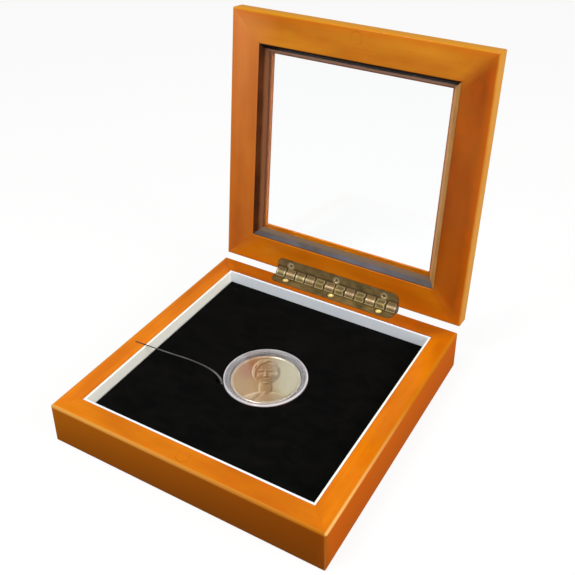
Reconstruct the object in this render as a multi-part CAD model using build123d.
"""Coin display case: a small square box of lacquered wood with a glazed lid.

The case stands on its felt with its front towards -Y.  The origin is the middle of the
underside and +Z is up.  Lengths are millimetres, angles are degrees.  The lid and all that it
carries are drawn shut and then turned open about the hinge pin, which is the pose at rest.
"""
import os
from math import cos, hypot, radians, sin, tan

from build123d import *

# ---------------------------------------------------------------- driving dimensions
case_size = 116.0             # outside of the square case, across the rails
base_height = 18.0            # underside to rail tops
open_angle = 96.0             # lid opening, shut to stop

# base frame
base_rail_width = 8.4
base_top_round = 1.3
base_bottom_round = 1.5
corner_ease = 1.2             # rounding of the upright corners
panel_lap = 3.0               # how far the bottom panel reaches into the rails
felt_thickness = 1.0
panel_thickness = 3.0
panel_fit = 0.1               # gap round the bottom panel

# lining and display pad
liner_thickness = 0.9
liner_gap = 0.12              # shadow gap between the card and the wood
liner_set_down = 0.1          # card edge below the rail tops
liner_edge_bevel = 0.15
board_thickness = 3.2
pad_thickness = 5.8
pad_gap = 0.2                 # pad to card, all round
pad_edge_round = 0.7

# coin and its two-part capsule
coin_diameter = 28.0
coin_thickness = 2.0
coin_rim_width = 1.1
coin_rim_height = 0.25        # rim above the field, each side
bust_height = 0.22            # portrait above the field
bust_turn = 30.0              # the way the head points, from +Y
head_width = 11.0
head_height = 14.4
head_up = 3.0                 # middle of the head, from the middle of the coin
neck_width = 5.2
shoulder_width = 20.0
shoulder_height = 8.0
capsule_skin = 1.9            # clear discs above and below the coin
capsule_flange = 1.2          # rim of the lower half, under the cap's skirt
capsule_ring = 1.25           # ring of the lower half, round the coin
capsule_wall = 1.2            # outer skirt of the cap
capsule_seam = 0.1            # running gap between the two halves
coin_side_gap = 0.2
coin_hold_gap = 0.2           # coin to the cap
capsule_edge_bevel = 0.4
recess_gap = 0.35             # capsule to the hole in the pad

# lifting ribbon: distance out from its slit, height above the board it is glued to
ribbon_route = [(0.0, 0.0), (0.15, 4.6), (4.7, 9.45), (10.6, 10.82), (17.0, 10.9),
                (23.8, 10.8), (30.9, 10.84), (37.0, 10.95), (41.3, 10.93)]
ribbon_width = 0.8
ribbon_thickness = 0.2
ribbon_setback = 0.75         # ribbon's foot, beyond the wall of the recess
ribbon_notch_gap = 0.35       # notch in the pad, round the ribbon
ribbon_exit_angle = 219.9     # where it leaves the recess, from +X
ribbon_heading = 183.8        # the way it runs over the pad, from +X

# lid frame
lid_thickness = 8.0
lid_face_width = 13.6         # face of a lid rail, outside edge to rebate
lid_lip_width = 4.4           # lip that holds the glass, beyond the face
lid_lip_thickness = 2.4
lid_outer_round = 2.5
lid_inner_round = 1.0
rebate_edge_round = 0.5
window_edge_round = 1.9       # outside edge of the window
glass_thickness = 2.0
glass_gap = 0.25              # pane to rebate wall
bead_foot = 3.4               # sloped bead that holds the pane: its width on the glass
bead_lip = 0.5                # and at the mouth of the rebate
bead_set_in = 0.3             # bead below the lid's inner face

# hinge
hinge_length = 60.0
knuckle_count = 12
stop_knuckles = (4, 6, 8, 10)  # square knuckles of the lower leaf, counted from 0 at the left
knuckle_radius = 1.8
knuckle_gap = 0.12
pin_radius = 0.75
pin_fit = 0.02                # pin to the lower leaf, which holds it
pin_running_gap = 0.05        # pin to the upper leaf, which turns on it
pin_axis_setback = 1.2        # pin centre behind the back of the case
leaf_thickness = 1.0
leaf_proud = 0.15             # leaf above the wood it is let into
leaf_gap = 0.1                # leaf to leaf, shut
leaf_reach = 6.0              # leaf onto the rail, from the back of the case
leaf_corner_round = 3.0
mortise_gap = 0.15
swing_gap = 0.1               # least gap of what swings past a knuckle
stop_gap = 0.03
stop_step = 0.2               # step in the top of a square knuckle, behind the pin

# hinge screws
screw_inset = 3.4             # screw line, from the back of the case
screw_spacing = 23.2
screw_head_radius = 1.5
screw_neck_radius = 0.8
screw_shank_radius = 0.75
screw_shank_sides = 6         # few faces: the thread is hidden in the wood
screw_length = 5.5
screw_fit = 0.03

# closing magnets, each under a wooden plug
magnet_diameter = 5.0
magnet_thickness = 2.0
magnet_fit = 0.05
plug_thickness = 1.0
magnet_inset = 4.2            # magnet centre, from the front of the case

# ---------------------------------------------------------------- worked out from these
half = case_size / 2
well_half = half - base_rail_width
panel_top = felt_thickness + panel_thickness
board_top = panel_top + board_thickness
pad_top = board_top + pad_thickness
card_half = well_half - liner_gap
pad_half = card_half - liner_thickness - pad_gap
coin_radius = coin_diameter / 2
skirt_inner = coin_radius + coin_side_gap + capsule_ring + capsule_seam
capsule_radius = skirt_inner + capsule_wall
recess_radius = capsule_radius + recess_gap

parting_gap = 2 * leaf_proud + leaf_gap
lid_bottom = base_height + parting_gap
lid_top = lid_bottom + lid_thickness
rebate_half = half - lid_face_width
window_half = rebate_half - lid_lip_width
glass_top = lid_top - lid_lip_thickness
glass_bottom = glass_top - glass_thickness

pin_y = half + pin_axis_setback
pin_z = base_height + parting_gap / 2
pin_line = Axis((0, pin_y, pin_z), (1, 0, 0))
leaf_far_side = leaf_gap / 2 + leaf_thickness   # pin line to the back of a leaf
lower_slot = knuckle_radius + swing_gap         # pin line to the slots of each leaf
upper_slot = hypot(knuckle_radius, knuckle_radius) + swing_gap
stop_height = upper_slot * sin(radians(open_angle)) + leaf_far_side * cos(radians(open_angle)) - stop_gap
cove_radius = hypot(knuckle_radius, stop_height) + swing_gap
knuckle_pitch = hinge_length / knuckle_count
leaf_end = pin_axis_setback + leaf_reach        # pin line to the far edge of a leaf
screw_x = (-screw_spacing, 0.0, screw_spacing)

BELOW = (Align.CENTER, Align.CENTER, Align.MAX)
ABOVE = (Align.CENTER, Align.CENTER, Align.MIN)
SIDES = ("front", "right", "back", "left")


def save(shape, name):
    """Write one sub-part to its STEP file."""
    export_step(shape, f"parts/{name}.step")


def opened(shape):
    """Turn a piece of the shut lid to where it stands with the lid open."""
    return shape.rotate(pin_line, -open_angle)


def slab(half_width, bottom, top):
    """A square plate about the Z axis."""
    return Pos(0, 0, bottom) * Box(2 * half_width, 2 * half_width, top - bottom, align=ABOVE)


def disc(radius, bottom, top):
    """A round plate about the Z axis."""
    return Pos(0, 0, bottom) * Cylinder(radius, top - bottom, align=ABOVE)


def tube(outer, inner, bottom, top):
    """A ring about the Z axis."""
    return disc(outer, bottom, top) - disc(inner, bottom, top)


def bar(radius, length):
    """A round bar along the hinge pin."""
    return Pos(0, pin_y, pin_z) * Rot(0, 90, 0) * Cylinder(radius, length)


def edges_at(shape, height, half_width=None):
    """Straight edges that lie at one height, or only those of one square there."""
    found = shape.edges().filter_by_position(Axis.Z, height - 0.01, height + 0.01)
    if half_width is None:
        return found
    reach = half_width + 0.01
    return found.filter_by_position(Axis.X, -reach, reach).filter_by_position(Axis.Y, -reach, reach)


def frame_blank(bottom, top, bottom_round, top_round):
    """The square block that a frame is cut from, with its outside edges rounded."""
    block = slab(half, bottom, top)
    block = fillet(edges_at(block, top), top_round)
    block = fillet(edges_at(block, bottom), bottom_round)
    outline = RectangleRounded(case_size, case_size, corner_ease)
    return block & extrude(Pos(0, 0, bottom) * outline, top - bottom)


def mitred_rails(frame):
    """Cut a frame along its diagonals into front, right, back and left rails."""
    reach = case_size
    wedge = extrude(Polygon((0, 0), (-reach, -reach), (reach, -reach), align=None), reach, both=True)
    return {side: frame & wedge.rotate(Axis.Z, 90 * turn) for turn, side in enumerate(SIDES)}


def strips(outer_half, thickness, bottom, top):
    """Four strips that line a square: front and back whole, left and right between them."""
    long_strip = Box(2 * outer_half, thickness, top - bottom, align=ABOVE)
    short_strip = Box(2 * (outer_half - thickness), thickness, top - bottom, align=ABOVE)
    middle = outer_half - thickness / 2
    lining = {}
    for turn, side in enumerate(SIDES):
        strip = long_strip if side in ("front", "back") else short_strip
        lining[side] = (Pos(0, -middle, bottom) * strip).rotate(Axis.Z, 90 * turn)
    return lining


# ---------------------------------------------------------------- hinge
def leaf_plate(start, grow=0.0):
    """Outline of one leaf, from a distance in front of the pin line to its far edge."""
    length = hinge_length + 2 * grow
    depth = leaf_end + grow - start
    plate = extrude(Pos(0, -start - depth / 2) * Rectangle(length, depth), leaf_thickness)
    far_corners = plate.edges().filter_by(Axis.Z).sort_by(Axis.Y)[:2]
    return fillet(far_corners, leaf_corner_round + grow)


def knuckle_middle(number):
    """Place of a knuckle along the pin."""
    return (number + 0.5) * knuckle_pitch - hinge_length / 2


def round_knuckle(number):
    """A rolled knuckle with the tongue that joins it to its leaf."""
    return Pos(knuckle_middle(number), 0, 0) * bar(knuckle_radius, knuckle_pitch - knuckle_gap)


def stop_knuckle(number):
    """A square knuckle whose raised back half stops the lid."""
    r = knuckle_radius
    section = Polygon((r, -r), (r, stop_height), (stop_step, stop_height), (stop_step, r), (-r, r),
                      (-r, -r), align=None)
    block = extrude(Plane.YZ * section, (knuckle_pitch - knuckle_gap) / 2, both=True)
    return Pos(knuckle_middle(number), pin_y, pin_z) * block


def tongue(number, slot, bottom):
    """The strip of a leaf that reaches back to one of its knuckles."""
    strip = Box(knuckle_pitch - knuckle_gap, slot, leaf_thickness, align=(Align.CENTER, Align.MAX, Align.MIN))
    return Pos(knuckle_middle(number), pin_y, bottom) * strip


def countersunk_screw(grow=0.0, length=screw_length):
    """Head and shank of a screw that points down from the origin, or the hole for one."""
    cone = screw_head_radius - screw_neck_radius
    head = Cone(screw_neck_radius + grow, screw_head_radius + grow, cone, align=BELOW)
    return head + extrude(RegularPolygon(screw_shank_radius + grow, screw_shank_sides), -length)


def screw_places(height):
    """Where the screws of one leaf stand, at one height."""
    return [Pos(x, half - screw_inset, height) for x in screw_x]


def make_leaf(own, slot, top, bore):
    """A hinge leaf whose upper face is at one height, before it is turned over for the lid."""
    leaf = Pos(0, pin_y, top - leaf_thickness) * leaf_plate(slot)
    for number in own:
        leaf += stop_knuckle(number) if number in stop_knuckles else round_knuckle(number)
        leaf += tongue(number, slot, top - leaf_thickness)
    leaf -= bar(bore, 2 * hinge_length)
    for place in screw_places(top):
        leaf -= place * countersunk_screw(screw_fit)
    return leaf


def mirrored(shape):
    """Turn a piece over about the plane where lid and base meet, through the pin."""
    return mirror(shape, about=Plane((0, 0, pin_z)))


leaf_top = pin_z - leaf_gap / 2
lower_numbers = range(0, knuckle_count, 2)
upper_numbers = range(1, knuckle_count, 2)
lower_leaf = make_leaf(lower_numbers, lower_slot, leaf_top, pin_radius + pin_fit)
upper_leaf = mirrored(make_leaf(upper_numbers, upper_slot, leaf_top, pin_radius + pin_running_gap))

hinge_pin = bar(pin_radius, hinge_length)

lower_screws = [place * countersunk_screw() for place in screw_places(leaf_top)]
upper_screws = [mirrored(screw) for screw in lower_screws]

# what the hinge takes out of the back rail, and of the lid turned over
hinge_seat = Pos(0, pin_y, leaf_top - leaf_thickness) * leaf_plate(0.0, mortise_gap)
hinge_seat += Pos(0, pin_y, leaf_top - leaf_thickness / 2) * leaf_plate(0.0, mortise_gap)
hinge_seat += bar(cove_radius, hinge_length + 2 * mortise_gap)
for place in screw_places(leaf_top):
    hinge_seat += place * countersunk_screw(screw_fit, screw_length + screw_fit)

# ---------------------------------------------------------------- magnets
magnet_radius = magnet_diameter / 2
magnet_place = Pos(0, magnet_inset - half, base_height)
magnet_pocket = magnet_place * Cylinder(magnet_radius + magnet_fit, plug_thickness + magnet_thickness, align=BELOW)
base_plug = magnet_place * Cylinder(magnet_radius, plug_thickness, align=BELOW)
base_magnet = magnet_place * Pos(0, 0, -plug_thickness) * Cylinder(magnet_radius, magnet_thickness, align=BELOW)

# ---------------------------------------------------------------- base
base_frame = frame_blank(0, base_height, base_bottom_round, base_top_round)
base_frame -= slab(well_half, 0, base_height)
base_frame -= slab(well_half + panel_lap, 0, panel_top)
base_frame -= hinge_seat
base_frame -= magnet_pocket
base_rails = mitred_rails(base_frame)

panel_half = well_half + panel_lap - panel_fit
bottom_panel = slab(panel_half, felt_thickness, panel_top)
base_felt = slab(panel_half, 0, felt_thickness)
insert_board = slab(pad_half, panel_top, board_top)

liners = strips(card_half, liner_thickness, panel_top, base_height - liner_set_down)
for side, strip in liners.items():
    along = Axis.X if side in ("front", "back") else Axis.Y
    top_edges = edges_at(strip, base_height - liner_set_down).filter_by(along)
    liners[side] = chamfer(top_edges, liner_edge_bevel)

velvet_pad = fillet(edges_at(slab(pad_half, board_top, pad_top), pad_top), pad_edge_round)
velvet_pad -= disc(recess_radius, board_top, pad_top)

# ---------------------------------------------------------------- lifting ribbon
ribbon_foot = Pos(0, 0, board_top) * Rot(0, 0, ribbon_exit_angle) * Pos(recess_radius + ribbon_setback, 0, 0)
ribbon_place = Pos(*ribbon_foot.position) * Rot(0, 0, ribbon_heading)


def largest_bends(route):
    """The largest bend that each corner of a route has room for."""
    points = [Vector(along, 0, up) for along, up in route]
    radii = []
    for before, corner, after in zip(points, points[1:], points[2:]):
        half_turn = radians((corner - before).get_angle(after - corner)) / 2
        shorter = min((corner - before).length, (after - corner).length)
        radii.append(0.45 * shorter / tan(half_turn))
    return radii


ribbon_bends = largest_bends(ribbon_route)
ribbon_path = FilletPolyline(*[(along, 0, up) for along, up in ribbon_route], radius=ribbon_bends)
ribbon_section = Rectangle(ribbon_thickness, ribbon_width)
lifting_ribbon = ribbon_place * sweep(ribbon_section, path=ribbon_path)
print(f"ribbon {ribbon_path.length:.1f} mm long, bends", [round(bend, 1) for bend in ribbon_bends])

# the notch reaches from the recess to where the ribbon has risen clear of the pad
notch_reach = 3.0
notch_clear = 2.1
notch = Box(notch_reach + notch_clear, ribbon_width + 2 * ribbon_notch_gap, pad_thickness, align=ABOVE)
velvet_pad -= ribbon_place * Pos((notch_clear - notch_reach) / 2, 0, 0) * notch

# ---------------------------------------------------------------- capsule and coin
capsule_floor = board_top
flange_top = capsule_floor + capsule_flange
coin_bottom = capsule_floor + capsule_skin
coin_top = coin_bottom + coin_thickness
cap_under = coin_top + coin_hold_gap
capsule_top = cap_under + capsule_skin

capsule_base = disc(capsule_radius, capsule_floor, flange_top)
capsule_base += disc(skirt_inner - capsule_seam, flange_top, coin_top)
capsule_base -= disc(coin_radius + coin_side_gap, coin_bottom, coin_top)

capsule_cap = disc(capsule_radius, flange_top + capsule_seam, capsule_top)
capsule_cap = chamfer(edges_at(capsule_cap, capsule_top), capsule_edge_bevel)
capsule_cap -= disc(skirt_inner, flange_top + capsule_seam, cap_under)

field_radius = coin_radius - coin_rim_width
coin = disc(coin_radius, coin_bottom, coin_top)
coin -= disc(field_radius, coin_top - coin_rim_height, coin_top)
coin -= disc(field_radius, coin_bottom, coin_bottom + coin_rim_height)

# a plain bust in low relief
field_top = coin_top - coin_rim_height


def relief(outline, height):
    """A low shape raised on the coin's field."""
    return extrude(Pos(0, 0, field_top) * outline, height)


head = relief(Pos(0, head_up) * Ellipse(head_width / 2, head_height / 2), bust_height)
neck = relief(Pos(0, head_up - head_height / 2) * Rectangle(neck_width, head_height / 2), 0.6 * bust_height)
chest = Pos(0, -coin_radius) * Ellipse(shoulder_width / 2, shoulder_height) & Circle(field_radius)
bust = head + neck + relief(chest, 0.8 * bust_height)
coin += bust.rotate(Axis.Z, bust_turn)

# ---------------------------------------------------------------- lid, drawn shut
lid_frame = frame_blank(lid_bottom, lid_top, lid_inner_round, lid_outer_round)
lid_frame -= slab(rebate_half, lid_bottom, glass_top)
lid_frame -= slab(window_half, glass_top, lid_top)
lid_frame = fillet(edges_at(lid_frame, lid_bottom, rebate_half), rebate_edge_round)
lid_frame = fillet(edges_at(lid_frame, lid_top, window_half), window_edge_round)
lid_frame -= mirrored(hinge_seat)
lid_frame -= mirrored(magnet_pocket)
lid_rails = mitred_rails(lid_frame)
lid_glass = slab(rebate_half - glass_gap, glass_bottom, glass_top)

# sloped beads along the rebate, wide where they stand on the pane
bead_mouth = lid_bottom + bead_set_in
mouth = Pos(0, 0, bead_mouth) * Rectangle(2 * (rebate_half - bead_lip), 2 * (rebate_half - bead_lip))
sight = Pos(0, 0, glass_bottom) * Rectangle(2 * (rebate_half - bead_foot), 2 * (rebate_half - bead_foot))
retainers = mitred_rails(slab(rebate_half, bead_mouth, glass_bottom) - loft([mouth, sight], ruled=True))

# ---------------------------------------------------------------- write the sub-parts
os.makedirs("parts", exist_ok=True)

for side in SIDES:
    save(base_rails[side], f"base_{side}_rail")
    save(liners[side], f"liner_{side}")
    save(opened(lid_rails[side]), f"lid_{side}_rail")
    save(opened(retainers[side]), f"glass_retainer_{side}")

save(bottom_panel, "bottom_panel")
save(base_felt, "base_felt")
save(insert_board, "insert_board")
save(velvet_pad, "velvet_pad")
save(lifting_ribbon, "lifting_ribbon")
save(capsule_base, "capsule_base")
save(capsule_cap, "capsule_cap")
save(coin, "coin")
save(lower_leaf, "hinge_lower_leaf")
save(hinge_pin, "hinge_pin")
save(Compound(lower_screws), "hinge_lower_screws")
save(base_magnet, "base_magnet")
save(base_plug, "base_magnet_plug")
save(opened(upper_leaf), "hinge_upper_leaf")
save(opened(Compound(upper_screws)), "hinge_upper_screws")
save(opened(mirrored(base_magnet)), "lid_magnet")
save(opened(mirrored(base_plug)), "lid_magnet_plug")
save(opened(lid_glass), "lid_glass")
